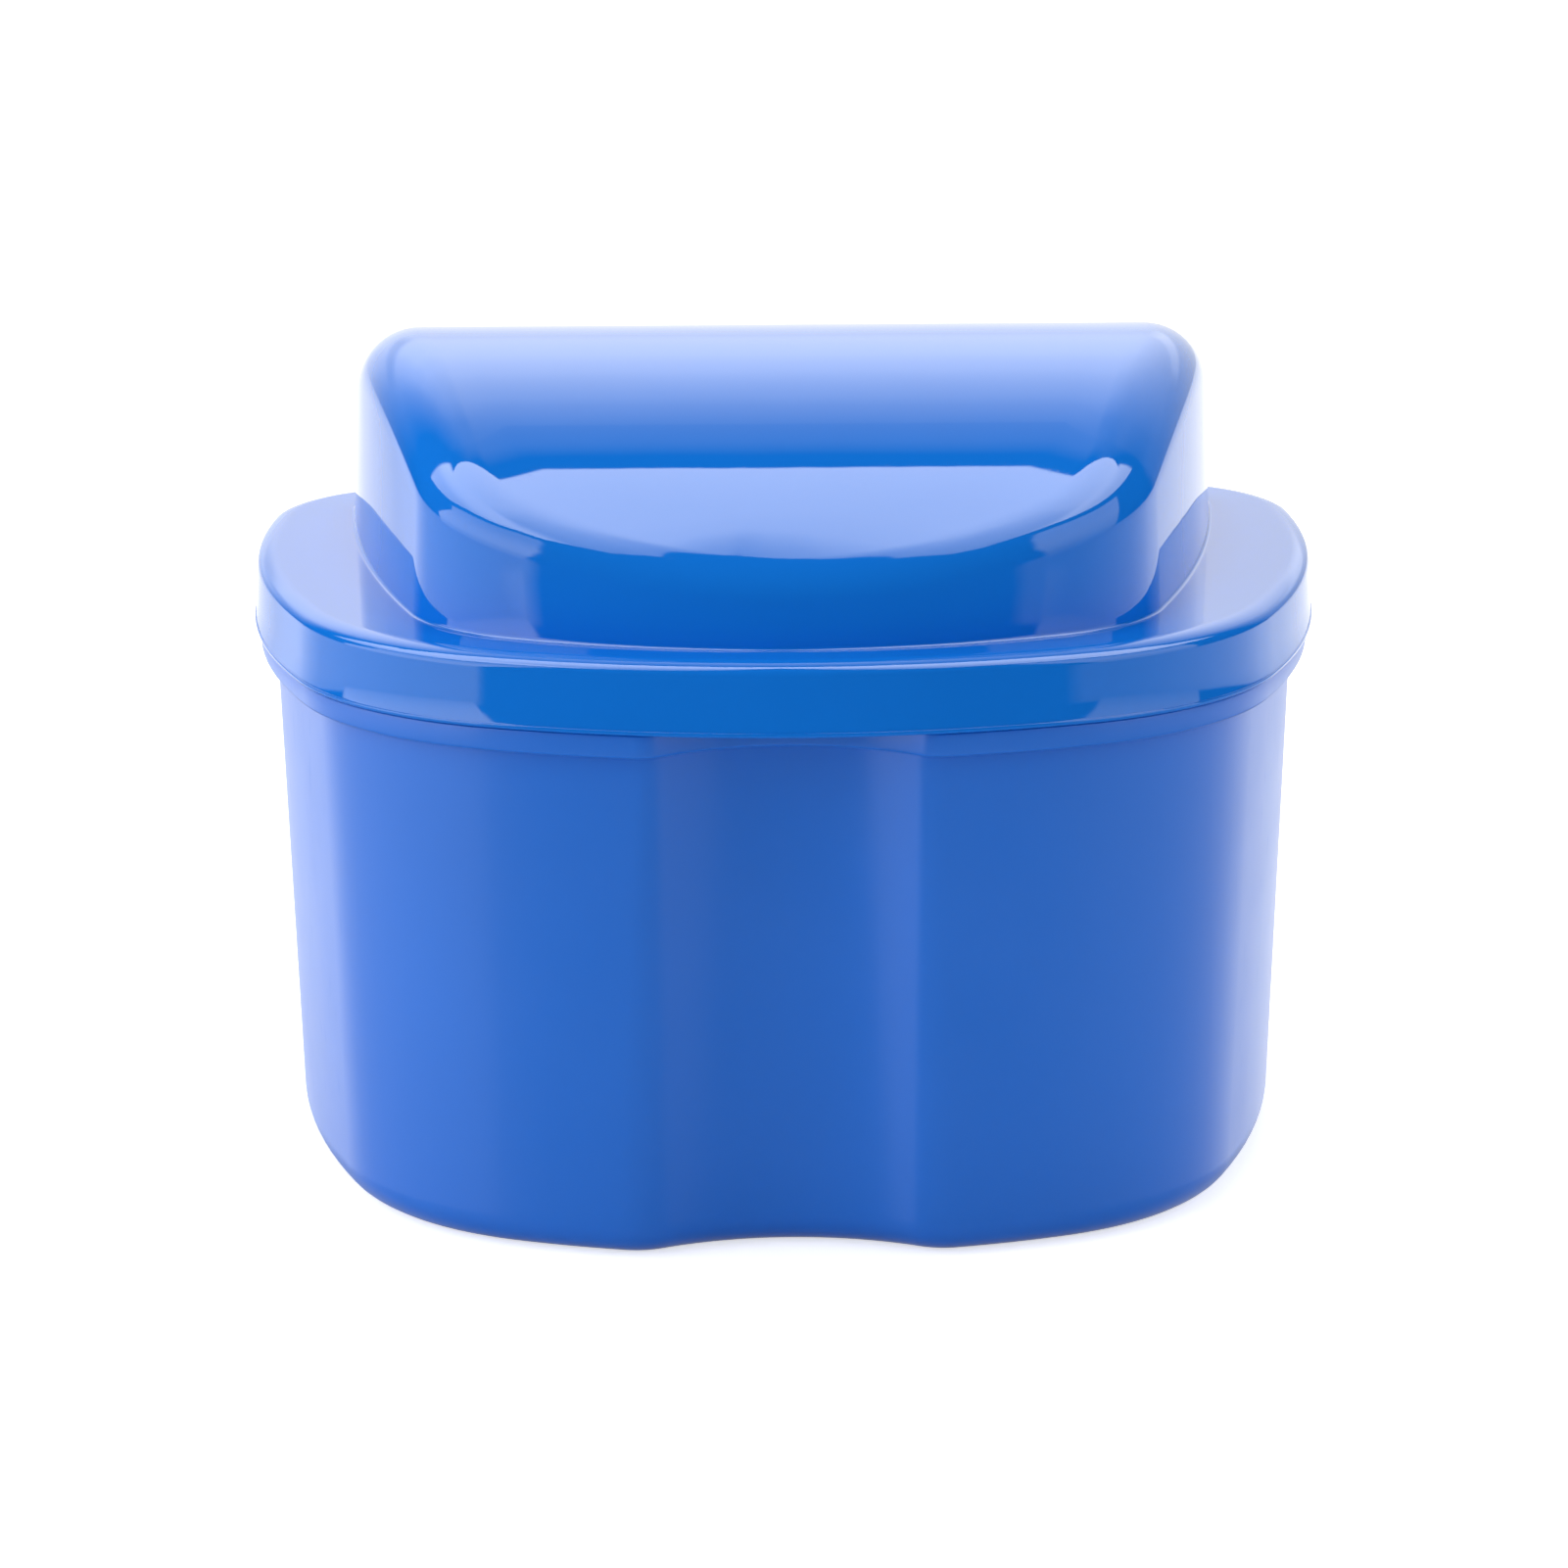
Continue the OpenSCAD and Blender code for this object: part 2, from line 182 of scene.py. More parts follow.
def finish_shape(piece):
    """Turns the faces outwards and shades them smooth, apart from the sharp edges."""
    bpy.ops.object.mode_set(mode="EDIT")
    bpy.ops.mesh.select_all(action="SELECT")
    bpy.ops.mesh.normals_make_consistent(inside=False)
    bpy.ops.object.mode_set(mode="OBJECT")
    bpy.ops.object.shade_smooth_by_angle(angle=SHARP)
    print(piece.name, "faces:", len(piece.data.polygons))
    return piece


def grow_shell(name, rings, arched=False):
    """A closed piece through a list of rings."""
    bpy.ops.object.select_all(action="DESELECT")
    bpy.ops.mesh.primitive_circle_add(vertices=len(rings[0]), radius=LID_WIDTH / 2 * MM)
    piece = new_object(name)
    bpy.ops.object.mode_set(mode="EDIT")
    edit = bmesh.from_edit_mesh(piece.data)
    for point, place in zip(sorted(edit.verts, key=lambda v: v.index), rings[0]):
        point.co = place
    for old, new in zip(rings, rings[1:]):
        bpy.ops.mesh.extrude_edges_move()
        edit = bmesh.from_edit_mesh(piece.data)
        lay_on(edit, old, new)
    close_end(edit, rings[0], arched)
    close_end(edit, rings[-1], arched)
    bmesh.update_edit_mesh(piece.data)
    return finish_shape(piece)


def quarter(steps):
    """Sines and cosines of the steps of a quarter turn."""
    turns = [math.radians(90 * i / steps) for i in range(steps + 1)]
    return [(math.sin(t), math.cos(t)) for t in turns]


# %% [markdown]
# ## The tub
#
# The tub is moulded in one piece. Its wall leans in towards the base, so that it leaves the
# mould. In front the wall goes in for the thumb. This recess is narrow with tight edges at the
# rim, and it grows wider, deeper and softer towards the foot. Under the rim a band stands out,
# and the lid's skirt stops just above it. The outline is drawn first, as a function of how far
# down the wall it lies.

# %% The tub's outline with the thumb recess
TUB_HEIGHT, TUB_WALL, TUB_FLOOR, TUB_LEAN = 49.1, 1.8, 2.2, 1.5
COLLAR_HEIGHT, BAND_HEIGHT, BAND_OUT = 3.0, 2.0, 1.4
BAND_TOP = TUB_HEIGHT - COLLAR_HEIGHT
BAND_BOTTOM = BAND_TOP - BAND_HEIGHT
COLLAR_INSET = 1.9
RIM_RECESS = {"width": 25.0, "back": 7.0, "edge": 3.0}
FOOT_RECESS = {"width": 29.4, "back": 7.8, "edge": 6.8}
LEAST_EDGE = 0.8
RECESS_STEPS, EDGE_STEPS = 12, 12
FRONT_R = LID_PLAN[0][0]


def tub_half(inset, width, recess_y, edge_r):
    """The half outline of the tub: a hollow arc, its rounded edge, and then the lid's own arcs."""
    r = FRONT_R - inset
    turn = math.asin(width / 2 / (FRONT_R - COLLAR_INSET))
    edge_x = (r - edge_r) * math.sin(turn)
    gap = inset + r - (r - edge_r) * math.cos(turn) - recess_y
    hollow_r = (edge_x ** 2 + gap ** 2 - edge_r ** 2) / (2 * (edge_r - gap))
    dip = math.degrees(math.asin(edge_x / (edge_r + hollow_r)))
    turn = math.degrees(turn)
    front = LID_PLAN[0]
    arcs = [(-hollow_r, -dip, RECESS_STEPS), (edge_r, dip + turn, EDGE_STEPS), (r, front[1] - turn, front[2])]
    arcs += [(radius - inset, part, steps) for radius, part, steps in LID_PLAN[1:]]
    return half_outline(arcs, recess_y)


def recess_at(z):
    """The measures of the recess at a height, between those at the foot and those at the rim."""
    down = max(0.0, 1 - z / BAND_BOTTOM)
    measures = {key: rim + (FOOT_RECESS[key] - rim) * down for key, rim in RIM_RECESS.items()}
    return down, measures


def tub_ring(out, z):
    """A ring of the tub at a distance outside its wall, which leans in towards the foot."""
    down, recess = recess_at(z)
    edge = max(LEAST_EDGE, recess["edge"] + min(0.0, out))
    return level(tub_half(COLLAR_INSET - out + TUB_LEAN * down, recess["width"], recess["back"] - out, edge), z)


print("points in a tub ring:", len(tub_ring(0, 0)))

# %% [markdown]
# ## The tub's shell
#
# The tub is grown as one closed shell: from the hollow under its base over the ring that it
# stands on, round the foot's soft edge, up the leaning wall, out round the band, up the collar,
# over the rim and down again to the floor inside. Small edges get a few rings each, because
# every moulded edge is a little rounded and catches a line of light.

# %% The tub
FOOT_R, FOOT_RING, FOOT_HOLLOW = 3.0, 3.0, 0.8
BAND_LOWER_R, BAND_UPPER_R, RIM_R, RIM_CHAMFER = 0.35, 0.18, 0.4, 0.3
WALL_RINGS = 16
HOLD, SHORT_HOLD = 0.15, 0.1


def wall_rings(make, out, start, end):
    """Rings evenly along a wall, after the one at its start."""
    return [make(out, start + (end - start) * i / WALL_RINGS) for i in range(1, WALL_RINGS + 1)]


def rounded_step(make, out, z, radius, from_side, steps=4):
    """Rings round a small outer edge. from_side is 1 from below to the side, or -1 from the side to the top."""
    rings = []
    for s, c in quarter(steps):
        if from_side > 0:
            rings.append(make(out - radius * (1 - s), z + radius * (1 - c)))
        else:
            rings.append(make(out - radius * (1 - c), z - radius * (1 - s)))
    return rings


def build_tub():
    inner_r = FOOT_R - TUB_WALL
    rings = [tub_ring(-FOOT_R - FOOT_RING - FOOT_HOLLOW, FOOT_HOLLOW), tub_ring(-FOOT_R - FOOT_RING, 0)]
    rings += [tub_ring(-FOOT_R - HOLD, 0)]
    rings += [tub_ring(-FOOT_R * (1 - s), FOOT_R * (1 - c)) for s, c in quarter(10)]
    rings += [tub_ring(0, FOOT_R + HOLD)] + wall_rings(tub_ring, 0, FOOT_R + HOLD, BAND_BOTTOM - HOLD)
    rings += [tub_ring(0, BAND_BOTTOM)]
    rings += rounded_step(tub_ring, BAND_OUT, BAND_BOTTOM, BAND_LOWER_R, 1)
    rings += rounded_step(tub_ring, BAND_OUT, BAND_TOP, BAND_UPPER_R, -1)
    rings += [tub_ring(0, BAND_TOP), tub_ring(0, TUB_HEIGHT - RIM_R - SHORT_HOLD)]
    rings += rounded_step(tub_ring, 0, TUB_HEIGHT, RIM_R, -1)
    low, high = TUB_FLOOR + inner_r, TUB_HEIGHT - RIM_CHAMFER
    rings += [tub_ring(-TUB_WALL + RIM_CHAMFER, TUB_HEIGHT), tub_ring(-TUB_WALL, high)]
    rings += wall_rings(tub_ring, -TUB_WALL, high, low)[:-1]
    rings += [tub_ring(-TUB_WALL - inner_r * (1 - c), TUB_FLOOR + inner_r * (1 - s)) for s, c in quarter(6)]
    return grow_shell("Tub", rings)


tub = build_tub()

# %% [markdown]
# ## The lid
#
# The lid is one thin shell too. Its skirt goes round the tub's collar, its top is flat, and the
# dome rises from it. The dome's upper side is an arch that runs straight across the width. Where
# the arch meets the upright wall, the edge is rounded as if a ball rolled along both: the ball's
# centre stays one radius away from each, and the surface is where it touches or faces them.

# %% The lid's rounded dome
LID_WALL, SKIRT, SKIRT_LEAN, SKIRT_R = 1.5, 5.9, 0.38, 0.22
REST_GAP, BASKET_RIM, BAND_GAP = 0.3, 1.1, 0.2
LID_TOP = TUB_HEIGHT + REST_GAP + BASKET_RIM + REST_GAP + LID_WALL
SKIRT_Z = LID_TOP - SKIRT - BAND_GAP
DOME_HEIGHT, ARCH_R, DOME_LEAN, ROOT_R = 19.9, 53.0, 0.4, 0.3
FRONT_EDGE_R, SIDE_EDGE_R, LEAST_EDGE_R = 4.6, 5.4, 0.4
EDGE_GROWS = (-62.0, -12.0)
ARCH_Z = LID_TOP + DOME_HEIGHT - ARCH_R


def arch_height(y, radius):
    """The height of the arch above a point of the plan."""
    return ARCH_Z + math.sqrt(radius ** 2 - (y - CREST_Y) ** 2)


def edge_radius(angle):
    """The ball's radius at a normal's angle: it grows a little round the cheek to the sides."""
    share = min(1.0, max(0.0, (angle - EDGE_GROWS[0]) / (EDGE_GROWS[1] - EDGE_GROWS[0])))
    return FRONT_EDGE_R + (SIDE_EDGE_R - FRONT_EDGE_R) * share * share * (3 - 2 * share)


def rolled_ring(inset, depth, share):
    """A ring on the rolled edge, at a depth in the wall. The share runs from 0 on the wall to 1 on the arch."""
    points = []
    for x, y, angle in inset_plan(DOME_PLAN, inset + depth, DOME_FRONT):
        ball = max(LEAST_EDGE_R, edge_radius(angle) - depth)
        wall = Vector((math.cos(math.radians(angle)), math.sin(math.radians(angle)), 0))
        cx, cy = x - ball * wall.x, y - ball * wall.y
        cz = arch_height(cy, ARCH_R - depth - ball)
        up = Vector((0, cy - CREST_Y, cz - ARCH_Z)).normalized()
        turn = wall.slerp(up, share) if share else wall
        points.append((cx + ball * turn.x, cy + ball * turn.y, cz + ball * turn.z))
    return ring(points)


def shrunk_on_arch(rings_end, scale, radius):
    """A ring drawn in towards the middle of the dome, with its points on the arch."""
    middle = (CREST_Y - MIDDLE_Y) * MM
    places = []
    for p in rings_end:
        y = middle + (p.y - middle) * scale
        places.append(Vector((p.x * scale, y, arch_height(y / MM + MIDDLE_Y, radius) * MM)))
    return places


# %% [markdown]
# ## The lid's shell
#
# The top slopes off gently near its edge and then turns tightly down into the skirt, which puts
# one thin highlight on the corner. At the skirt's foot the two halves of the mould part, which
# leaves a lip a tenth of a millimetre high that shows as a fine light line. The shell is grown
# from under the dome, down the inside, round the skirt and up over the dome again.

# %% The lid
ROLL_STEPS = 12
SLOPE_R, SLOPE_TURN, CORNER_EDGE_R = 3.0, math.radians(28), 0.9
SLOPE_DROP = SLOPE_R * (1 - math.cos(SLOPE_TURN))
EDGE_DROP = SLOPE_DROP + CORNER_EDGE_R * math.cos(SLOPE_TURN)
EDGE_RUN = CORNER_EDGE_R * (1 - math.sin(SLOPE_TURN)) + SLOPE_R * math.sin(SLOPE_TURN)
LIP, LIP_HEIGHT, SKIRT_MIDDLE = 0.1, 0.3, 2.3
TIGHT_STEPS, SLOPE_STEPS = 6, 4
INNER_SHRUNK, OUTER_SHRUNK = 0.97, (0.99, 0.9)


def roll(depth, steps=ROLL_STEPS):
    """Rings over the whole rolled edge, from the wall to the arch."""
    return [rolled_ring(DOME_LEAN, depth, i / steps) for i in range(steps + 1)]


def wall_to_roll(start, end, cuts=4):
    """Rings up the dome's wall from a flat ring to the start of the rolled edge."""
    return [[a.lerp(b, i / cuts) for a, b in zip(start, end)] for i in range(1, cuts)]


def skirt_lean(z):
    """How far the skirt has leant in at a height, from its lip up to the corner."""
    return LIP + (SKIRT_LEAN - LIP) * (z - SKIRT_Z) / (LID_TOP - EDGE_DROP - SKIRT_Z)


def top_edge():
    """Rings round the tight corner and up the gentle slope."""
    places = []
    for i in range(TIGHT_STEPS + 1):
        turn = math.pi / 2 + (SLOPE_TURN - math.pi / 2) * i / TIGHT_STEPS
        places.append((CORNER_EDGE_R * (1 - math.sin(turn)),
                       SLOPE_DROP + CORNER_EDGE_R * (math.cos(SLOPE_TURN) - math.cos(turn))))
    for i in range(1, SLOPE_STEPS + 1):
        turn = SLOPE_TURN * (1 - i / SLOPE_STEPS)
        places.append((EDGE_RUN - SLOPE_R * math.sin(turn), SLOPE_R * (1 - math.cos(turn))))
    return [lid_ring(SKIRT_LEAN + inset, LID_TOP - drop) for inset, drop in places]


def build_lid():
    inner = roll(LID_WALL, 8)[::-1]
    under = LID_TOP - LID_WALL
    rings = [shrunk_on_arch(inner[0], INNER_SHRUNK, ARCH_R - LID_WALL)] + inner
    foot = dome_ring(LID_WALL, under)
    rings += wall_to_roll(inner[-1], foot)
    rings += [foot, lid_ring(LID_WALL + SKIRT_LEAN, under), lid_ring(LID_WALL, SKIRT_Z + SKIRT_R)]
    rings += [lid_ring(LID_WALL - SKIRT_R, SKIRT_Z)]
    rings += [lid_ring(SKIRT_R * (1 - s), SKIRT_Z + SKIRT_R * (1 - c)) for s, c in quarter(3)]
    rings += [lid_ring(LIP * (1 - c), SKIRT_Z + LIP_HEIGHT + LIP * s) for s, c in quarter(2)]
    above_lip, below_corner = SKIRT_Z + LIP_HEIGHT + LIP + SHORT_HOLD, LID_TOP - EDGE_DROP - HOLD
    rings += [lid_ring(skirt_lean(z), z) for z in (above_lip, SKIRT_Z + SKIRT_MIDDLE, below_corner)]
    rings += top_edge()
    rings += [lid_ring(SKIRT_LEAN + EDGE_RUN + HOLD, LID_TOP), dome_ring(-ROOT_R - HOLD, LID_TOP)]
    rings += [dome_ring(-ROOT_R * (1 - s), LID_TOP + ROOT_R * (1 - c)) for s, c in quarter(6)]
    outer = roll(0)
    rings += wall_to_roll(rings[-1], outer[0]) + outer
    rings += [shrunk_on_arch(outer[-1], scale, ARCH_R) for scale in OUTER_SHRUNK]
    return grow_shell("Lid", rings, arched=True)


lid = build_lid()

# %% [markdown]
# ## The basket
#
# The strainer basket hangs on the tub's collar by its rim. It follows the tub's wall at a small
# distance, so its rings come from the same outline. Upright slots in the wall and round holes in
# the floor let the solution run off: one cutter is modelled, copied to every place and taken
# out of the shell, as a drill would do it.

# %% The basket's shell
BASKET_WALL, BASKET_Z, BASKET_R, BASKET_GAP = 1.3, 8.0, 4.0, 1.2
BASKET_OUT = -TUB_WALL - BASKET_GAP
RIM_Z, RIM_INSET = TUB_HEIGHT + REST_GAP, 0.4
UNDER_RIM_R, RIM_EDGE_R = 0.4, 0.3


def basket_ring(inside, z):
    """A ring of the basket at a distance inside the outer face of its wall."""
    return tub_ring(BASKET_OUT - inside, z)


def build_basket():
    inner_r = BASKET_R - BASKET_WALL
    top, low = RIM_Z + BASKET_RIM, BASKET_Z + BASKET_R
    rings = [basket_ring(BASKET_R * (1 - s), BASKET_Z + BASKET_R * (1 - c)) for s, c in quarter(8)]
    rings += wall_rings(basket_ring, 0, low, RIM_Z - UNDER_RIM_R)
    rings += [basket_ring(-UNDER_RIM_R * (1 - c), RIM_Z - UNDER_RIM_R * (1 - s)) for s, c in quarter(3)][1:]
    rings += rounded_step(tub_ring, -RIM_INSET, RIM_Z, RIM_EDGE_R, 1, 3)
    rings += rounded_step(tub_ring, -RIM_INSET, top, RIM_EDGE_R, -1, 3)
    start, end = top - RIM_EDGE_R, BASKET_Z + BASKET_WALL + inner_r
    rings += [basket_ring(BASKET_WALL - RIM_EDGE_R, top), basket_ring(BASKET_WALL, start)]
    rings += wall_rings(basket_ring, BASKET_WALL, start, end)
    rings += [basket_ring(BASKET_WALL + inner_r * (1 - c), BASKET_Z + BASKET_WALL + inner_r * (1 - s))
              for s, c in quarter(6)][1:]
    return grow_shell("Basket", rings)


basket = build_basket()

# %% [markdown]
# ## Slots and holes
#
# The slots stand evenly along the wall, square to it, from the end of the thumb recess round to
# the back. The holes lie on a square grid, wherever the floor has room for them.

# %% Where the slots and holes go
SLOT_WIDTH, SLOT_HEIGHT, SLOT_Z, SLOT_PITCH, SLOT_CUT = 3.0, 15.0, 26.0, 7.5, 7.6
HOLE_WIDTH, HOLE_PITCH = 4.0, 9.0
PRIMITIVE_TURNS = 24
BASKET_INSET = COLLAR_INSET - BASKET_OUT
basket_half = tub_half(BASKET_INSET, RIM_RECESS["width"], RIM_RECESS["back"] - BASKET_OUT, LEAST_EDGE)


def spread_along(half, first, pitch):
    """Points (x, y, angle) spread evenly along an outline, from one of its points on."""
    part = half[first:]
    runs = [0.0]
    for a, b in zip(part, part[1:]):
        runs.append(runs[-1] + math.hypot(b[0] - a[0], b[1] - a[1]))
    count = int(runs[-1] // pitch)
    places = []
    for j in range(count):
        run = (j + 0.5) * runs[-1] / count
        k = max(i for i, r in enumerate(runs[:-1]) if r <= run)
        t = (run - runs[k]) / (runs[k + 1] - runs[k])
        places.append([a + (b - a) * t for a, b in zip(part[k], part[k + 1])])
    return places


def on_floor(x, y):
    """Whether a hole at this place lies inside the floor with room for the rounded edge."""
    room = BASKET_R + TUB_LEAN + HOLE_WIDTH / 2
    wall = basket_half[RECESS_STEPS + EDGE_STEPS:]
    for wx, wy, angle in wall:
        a = math.radians(angle)
        if (abs(x) - wx) * math.cos(a) + (y - wy) * math.sin(a) > -room:
            return False
    return y > basket_half[0][1] + room or abs(x) > FOOT_RECESS["width"] / 2 + room


slots = spread_along(basket_half, RECESS_STEPS + EDGE_STEPS, SLOT_PITCH)
across, deep = int(LID_WIDTH / 2 // HOLE_PITCH), int(LID_DEPTH // HOLE_PITCH)
grid = [(i * HOLE_PITCH, BASKET_R + j * HOLE_PITCH) for i in range(-across, across + 1) for j in range(deep + 1)]
holes = [place for place in grid if on_floor(*place)]
print("slots on each side:", len(slots), "holes:", len(holes))

# %% [markdown]
# ## Cutting the slots and holes
#
# The slot's cutter is a cube with its four long edges bevelled to half its width, so it gets
# round ends like a milling cutter's path. The hole's cutter is a cylinder. The copies are joined
# and taken out with one applied modifier, which keeps the cuts clean and all alike.

# %% Cutting them
NEARLY_HALF = 0.499
DRILL_LENGTH = 3.0
mirror = Matrix.Scale(-1, 4, (1, 0, 0))


def join(pieces, name):
    """Joins pieces into the first one."""
    bpy.ops.object.select_all(action="DESELECT")
    for piece in pieces:
        piece.select_set(True)
    bpy.context.view_layer.objects.active = pieces[0]
    bpy.ops.object.join()
    return new_object(name)


def own_copy(piece, matrix):
    """A copy with its own mesh, moved by a matrix. A mirrored copy gets its faces turned out again."""
    copy = bpy.data.objects.new(piece.name, piece.data.copy())
    bpy.context.collection.objects.link(copy)
    copy.data.transform(matrix)
    if matrix.determinant() < 0:
        copy.data.flip_normals()
    return copy


def added(operator, name, **settings):
    """Adds a primitive and lays its place and turn into its mesh."""
    bpy.ops.object.select_all(action="DESELECT")
    operator(**settings)
    bpy.ops.object.transform_apply(location=True, rotation=True, scale=True)
    return new_object(name)


def apply_modifier(piece, kind, **settings):
    """Gives a piece a modifier with these settings and applies it."""
    bpy.ops.object.select_all(action="DESELECT")
    bpy.context.view_layer.objects.active = piece
    piece.select_set(True)
    modifier = piece.modifiers.new(kind.title(), kind)
    for key, value in settings.items():
        setattr(modifier, key, value)
    bpy.ops.object.modifier_apply(modifier=modifier.name)
    return piece


def slot_cutter():
    """A cutter with round ends: a cube whose four edges along X are bevelled to half its width."""
    cutter = added(bpy.ops.mesh.primitive_cube_add, "Slot", size=MM,
                   scale=(SLOT_CUT, SLOT_WIDTH, SLOT_HEIGHT))
    bpy.ops.object.mode_set(mode="EDIT")
    bpy.ops.mesh.select_all(action="DESELECT")
    edit = bmesh.from_edit_mesh(cutter.data)
    for edge in edit.edges:
        a, b = edge.verts
        edge.select_set(abs(a.co.x - b.co.x) > SLOT_CUT * MM / 2)
    bpy.ops.mesh.bevel(offset=SLOT_WIDTH * MM * NEARLY_HALF, segments=6, affect="EDGES")
    bpy.ops.object.mode_set(mode="OBJECT")
    return cutter


slot = slot_cutter()
cutters = []
for x, y, angle in slots:
    turn = Matrix.Translation(Vector((x, y - MIDDLE_Y, SLOT_Z)) * MM) @ Matrix.Rotation(math.radians(angle), 4, "Z")
    cutters += [own_copy(slot, turn), own_copy(slot, mirror @ turn)]
bpy.data.objects.remove(slot)
drill = added(bpy.ops.mesh.primitive_cylinder_add, "Drill", vertices=PRIMITIVE_TURNS, radius=HOLE_WIDTH / 2 * MM,
              depth=DRILL_LENGTH * MM, location=(0, 0, (BASKET_Z + BASKET_WALL / 2) * MM))
cutters += [own_copy(drill, Matrix.Translation(Vector((x, y - MIDDLE_Y, 0)) * MM)) for x, y in holes]
bpy.data.objects.remove(drill)
tool = join(cutters, "Cutter")
apply_modifier(basket, "BOOLEAN", operation="DIFFERENCE", solver="EXACT", object=tool)
bpy.data.objects.remove(tool)
print("basket faces after cutting:", len(basket.data.polygons))

# %% [markdown]
# ## Bosses and ledges
#
# On each side a round boss stands in from the basket's wall. The handle's pin turns in its blind
# bore, which is inset and pushed in as by hand. Two small ledges under it carry the folded arm,
# one for each way that the handle folds.

# %% Bosses and ledges
PIVOT_Y, PIVOT_Z = 42.0 - MIDDLE_Y, TUB_HEIGHT - 7.1
ARM_X, ARM_T, STRAP = 31.5, 2.4, 3.6
PIN_R, PIN_LENGTH, PIN_GAP = 1.5, 4.4, 0.06
BOSS_X, BOSS_R = ARM_X + ARM_T / 2 + 0.4, PIN_R + 2.2
LEDGE_T, LEDGE_WIDTH, LEDGE_MIDDLE, ARM_GAP = 2.0, 3.4, 8.3, 0.3
FITTING_EDGE_R, LEDGE_EDGE_R = 0.3, 0.4
FACING = 0.9


def wall_x(y):
    """Half the basket's width at a place y, in the middle of its wall."""
    near = min(basket_half[RECESS_STEPS + EDGE_STEPS:-BACK_CUTS], key=lambda p: abs(p[1] - MIDDLE_Y - y))
    return near[0] - BASKET_WALL / 2


def select_faces(piece, chosen):
    """Selects the faces for which chosen(face) is true, in edit mode."""
    bpy.ops.object.mode_set(mode="EDIT")
    bpy.ops.mesh.select_mode(type="FACE")
    bpy.ops.mesh.select_all(action="DESELECT")
    edit = bmesh.from_edit_mesh(piece.data)
    for face in edit.faces:
        face.select_set(chosen(face))
    bmesh.update_edit_mesh(piece.data)


def soften(piece, radius):
    """Rounds the sharp edges of a piece."""
    return apply_modifier(piece, "BEVEL", width=radius * MM, segments=3, limit_method="ANGLE",
                          angle_limit=math.radians(40))


def pushed_cylinder(name, radius, start, end, side, push_r):
    """A cylinder along X from start to end. Its left (-1) or right (1) end is inset to a smaller radius and pushed
    to the right by the pin's length, which makes a blind bore on the left and a pin on the right."""
    piece = added(bpy.ops.mesh.primitive_cylinder_add, name, vertices=2 * PRIMITIVE_TURNS, radius=radius * MM,
                  depth=(end - start) * MM, location=Vector(((start + end) / 2, PIVOT_Y, PIVOT_Z)) * MM,
                  rotation=(0, math.radians(90), 0))
    select_faces(piece, lambda face: face.normal.x * side > FACING)
    bpy.ops.mesh.inset(thickness=(radius - push_r) * MM)
    bpy.ops.mesh.extrude_region_move(TRANSFORM_OT_translate={"value": (PIN_LENGTH * MM, 0, 0)})
    bpy.ops.object.mode_set(mode="OBJECT")
    return soften(piece, FITTING_EDGE_R)


def build_ledge(side):
    """A ledge under the folded arm, in front of the pivot (-1) or behind it (1)."""
    y = PIVOT_Y + side * LEDGE_MIDDLE
    start, end = ARM_X - ARM_T / 2, wall_x(y)
    z = PIVOT_Z - STRAP / 2 - ARM_GAP - LEDGE_T / 2
    ledge = added(bpy.ops.mesh.primitive_cube_add, "Ledge", size=MM, scale=(end - start, LEDGE_WIDTH, LEDGE_T),
                  location=Vector(((start + end) / 2, y, z)) * MM)
    return soften(ledge, LEDGE_EDGE_R)


boss = pushed_cylinder("Boss", BOSS_R, BOSS_X, wall_x(PIVOT_Y), -1, PIN_R + PIN_GAP)
right_fittings = [boss, build_ledge(-1), build_ledge(1)]
left_fittings = [own_copy(piece, mirror) for piece in right_fittings]
basket = join([basket] + right_fittings + left_fittings, "Basket")
bpy.ops.object.shade_smooth_by_angle(angle=SHARP)
print("wall at the boss:", round(wall_x(PIVOT_Y), 2), "basket faces:", len(basket.data.polygons))

# %% [markdown]
# ## The handle
#
# The handle is one strap that runs up one arm, over the grip and down the other arm, with a
# round hub and a pin at each end. It is drawn folded down to the front, as it lies under the
# closed lid. The strap is its cross-section grown along the middle line, with rounded corners.

# %% The handle's strap
REACH, ARM_STRAIGHT, GRIP_SPAN = 24.0, 10.0, 44.0
HUB_R = STRAP / 2 + 0.6
CORNER_R, CORNER_STEPS, STRAP_EDGE = 3.0, 6, 0.7


def rounded_path(points, radius, steps):
    """Points and directions along a line whose corners are arcs."""
    path = [(points[0], (points[1] - points[0]).normalized())]
    for a, b, c in zip(points, points[1:], points[2:]):
        before, after = (b - a).normalized(), (c - b).normalized()
        turn = before.angle(after)
        reach = radius * math.tan(turn / 2)
        side = 1 if before.cross(after).z > 0 else -1
        normal = Vector((-before.y, before.x, 0)) * side
        start = b - before * reach
        for step in range(steps + 1):
            angle = turn * step / steps
            place = start + before * radius * math.sin(angle) + normal * radius * (1 - math.cos(angle))
            path.append((place, before * math.cos(angle) + normal * math.sin(angle)))
    path.append((points[-1], (points[-1] - points[-2]).normalized()))
    return path


def cross_section(place, along):
    """A rounded rectangle square to the strap: ARM_T in the handle's plane and STRAP across it."""
    outwards = Vector((along.y, -along.x, 0))
    ring_points = []
    for su, sz in ((1, -1), (1, 1), (-1, 1), (-1, -1)):
        for s, c in quarter(3) if su * sz > 0 else quarter(3)[::-1]:
            u = su * (ARM_T / 2 - STRAP_EDGE + STRAP_EDGE * c)
            z = sz * (STRAP / 2 - STRAP_EDGE + STRAP_EDGE * s)
            ring_points.append((place + outwards * u + Vector((0, 0, z))) * MM)
    return ring_points


